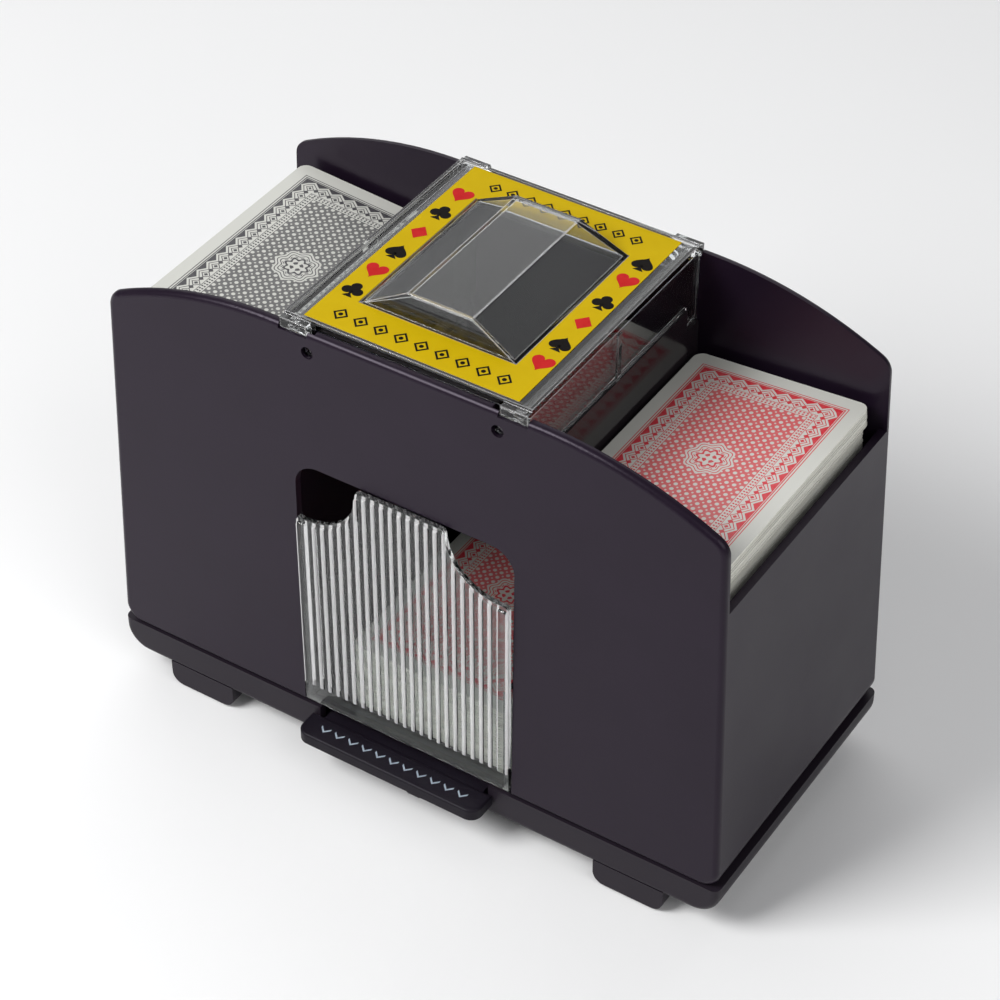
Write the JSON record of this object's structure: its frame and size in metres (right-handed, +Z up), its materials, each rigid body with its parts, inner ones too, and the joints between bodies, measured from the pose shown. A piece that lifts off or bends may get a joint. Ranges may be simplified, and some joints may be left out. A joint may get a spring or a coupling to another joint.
{
  "type": "automatic card shuffler",
  "caption": "Battery-driven card shuffler with a sloped hopper and rubber feed rollers at each end, a clear lid, a clear pull-out tray and a press lever.",
  "frame": {"origin": "on the surface that it stands on, under the middle of the bounding box", "axes": "+X along the length, towards the hopper that holds the red deck; +Y from the press lever's side to the back; +Z up"},
  "size_m": [0.2166, 0.1098, 0.1732],
  "materials": {
    "case_black": "satin moulded ABS",
    "base_black": "satin moulded ABS",
    "inner_black": "matt moulded ABS",
    "gate_gloss": "polished moulded polystyrene",
    "lever_black": "satin moulded ABS",
    "pad_rubber": "matt rubber",
    "roller_rubber": "soft high-grip rubber",
    "clear_plastic": "clear polystyrene, polished",
    "tray_clear": "clear polystyrene, ribbed",
    "label_card": "coated yellow card",
    "gear_white": "acetal",
    "motor_can": "plated steel",
    "pin_steel": "ground steel",
    "screw_steel": "zinc plated",
    "spring_steel": "plated spring steel",
    "bush_brass": "turned",
    "contact_brass": "rolled strip",
    "contact_plate": "nickel plated strip",
    "cell_sleeve": "printed sleeve",
    "cards_red": "coated playing card",
    "cards_black": "coated playing card",
    "cards_pile": "coated playing card"
  },
  "bodies": {
    "case": {"housing_shell": "case_black", "base_pan": "base_black", "foot_pads": "pad_rubber", "case_screws": "screw_steel", "chamber_frame": "inner_black", "shaft_bushes": "bush_brass", "lever_pin": "pin_steel", "lever_spring": "spring_steel", "fixed_contact": "contact_brass", "battery_box": "inner_black", "batteries": "cell_sleeve", "battery_contacts": "contact_plate", "battery_springs": "spring_steel", "right_hopper_floor": "inner_black", "right_gate_wall": "gate_gloss", "right_motor": "motor_can", "right_motor_bracket": "inner_black", "right_front_bearing_plate": "inner_black", "right_rear_bearing_plate": "inner_black", "right_gear_axle": "pin_steel", "left_hopper_floor": "inner_black", "left_gate_wall": "gate_gloss", "left_motor": "motor_can", "left_motor_bracket": "inner_black", "left_front_bearing_plate": "inner_black", "left_rear_bearing_plate": "inner_black", "left_gear_axle": "pin_steel"},
    "lid": {"lid": "clear_plastic", "label_sheet": "label_card"},
    "tray": {"tray": "tray_clear"},
    "tray_cards": {"tray_cards": "cards_pile"},
    "lever": {"press_lever": "lever_black", "moving_contact": "contact_brass"},
    "battery_door": {"battery_door": "base_black"},
    "right_feed": {"right_roller_shaft": "pin_steel", "right_feed_rollers": "roller_rubber", "right_roller_gear": "gear_white"},
    "right_compound": {"right_compound_gear": "gear_white"},
    "right_rotor": {"right_motor_pinion": "bush_brass", "right_motor_shaft": "pin_steel"},
    "right_deck": {"right_deck": "cards_red"},
    "left_feed": {"left_roller_shaft": "pin_steel", "left_feed_rollers": "roller_rubber", "left_roller_gear": "gear_white"},
    "left_compound": {"left_compound_gear": "gear_white"},
    "left_rotor": {"left_motor_pinion": "bush_brass", "left_motor_shaft": "pin_steel"},
    "left_deck": {"left_deck": "cards_black"}
  },
  "joints": [
    {"name": "lid_lift", "type": "slide", "parent": "case", "child": "lid", "axis": [0, 0, 1], "range_m": [0, 0.055]},
    {"name": "tray_slide", "type": "slide", "parent": "case", "child": "tray", "axis": [0, -1, 0], "range_m": [0, 0.095]},
    {"name": "tray_cards_lift", "type": "slide", "parent": "tray", "child": "tray_cards", "axis": [0, 0, 1], "range_m": [0, 0.03]},
    {"name": "lever_press", "type": "hinge", "parent": "case", "child": "lever", "pos_m": [0, -0.00708, 0.0151], "axis": [1, 0, 0], "range_deg": [0, 3.1], "stiffness_Nm_per_rad": 2.2, "deforming": ["lever_spring"]},
    {"name": "battery_door_hinge", "type": "hinge", "parent": "case", "child": "battery_door", "pos_m": [-0.0444, 0.00492, 0.0094], "axis": [0, -1, 0], "range_deg": [0, 95]},
    {"name": "right_deck_lift", "type": "slide", "parent": "case", "child": "right_deck", "axis": [0, 0, 1], "range_m": [0, 0.06]},
    {"name": "left_deck_lift", "type": "slide", "parent": "case", "child": "left_deck", "axis": [0, 0, 1], "range_m": [0, 0.06]},
    {"name": "right_roller_spin", "type": "hinge", "parent": "case", "child": "right_feed", "pos_m": [0.054, 0.00492, 0.10441], "axis": [0, 1, 0], "continuous": true},
    {"name": "right_compound_spin", "type": "hinge", "parent": "case", "child": "right_compound", "pos_m": [0.06418, 0.00492, 0.09423], "axis": [0, 1, 0], "continuous": true},
    {"name": "right_rotor_spin", "type": "hinge", "parent": "case", "child": "right_rotor", "pos_m": [0.07138, 0.00492, 0.08176], "axis": [0, 1, 0], "continuous": true},
    {"name": "left_roller_spin", "type": "hinge", "parent": "case", "child": "left_feed", "pos_m": [-0.054, 0.00492, 0.10441], "axis": [0, 1, 0], "continuous": true},
    {"name": "left_compound_spin", "type": "hinge", "parent": "case", "child": "left_compound", "pos_m": [-0.06418, 0.00492, 0.09423], "axis": [0, 1, 0], "continuous": true},
    {"name": "left_rotor_spin", "type": "hinge", "parent": "case", "child": "left_rotor", "pos_m": [-0.07138, 0.00492, 0.08176], "axis": [0, 1, 0], "continuous": true}
  ],
  "couplings": [
    {"joint": "right_compound_spin", "follows": "right_roller_spin", "ratio": -2},
    {"joint": "right_rotor_spin", "follows": "right_roller_spin", "ratio": 5.2},
    {"joint": "left_compound_spin", "follows": "left_roller_spin", "ratio": -2},
    {"joint": "left_rotor_spin", "follows": "left_roller_spin", "ratio": 5.2}
  ]
}
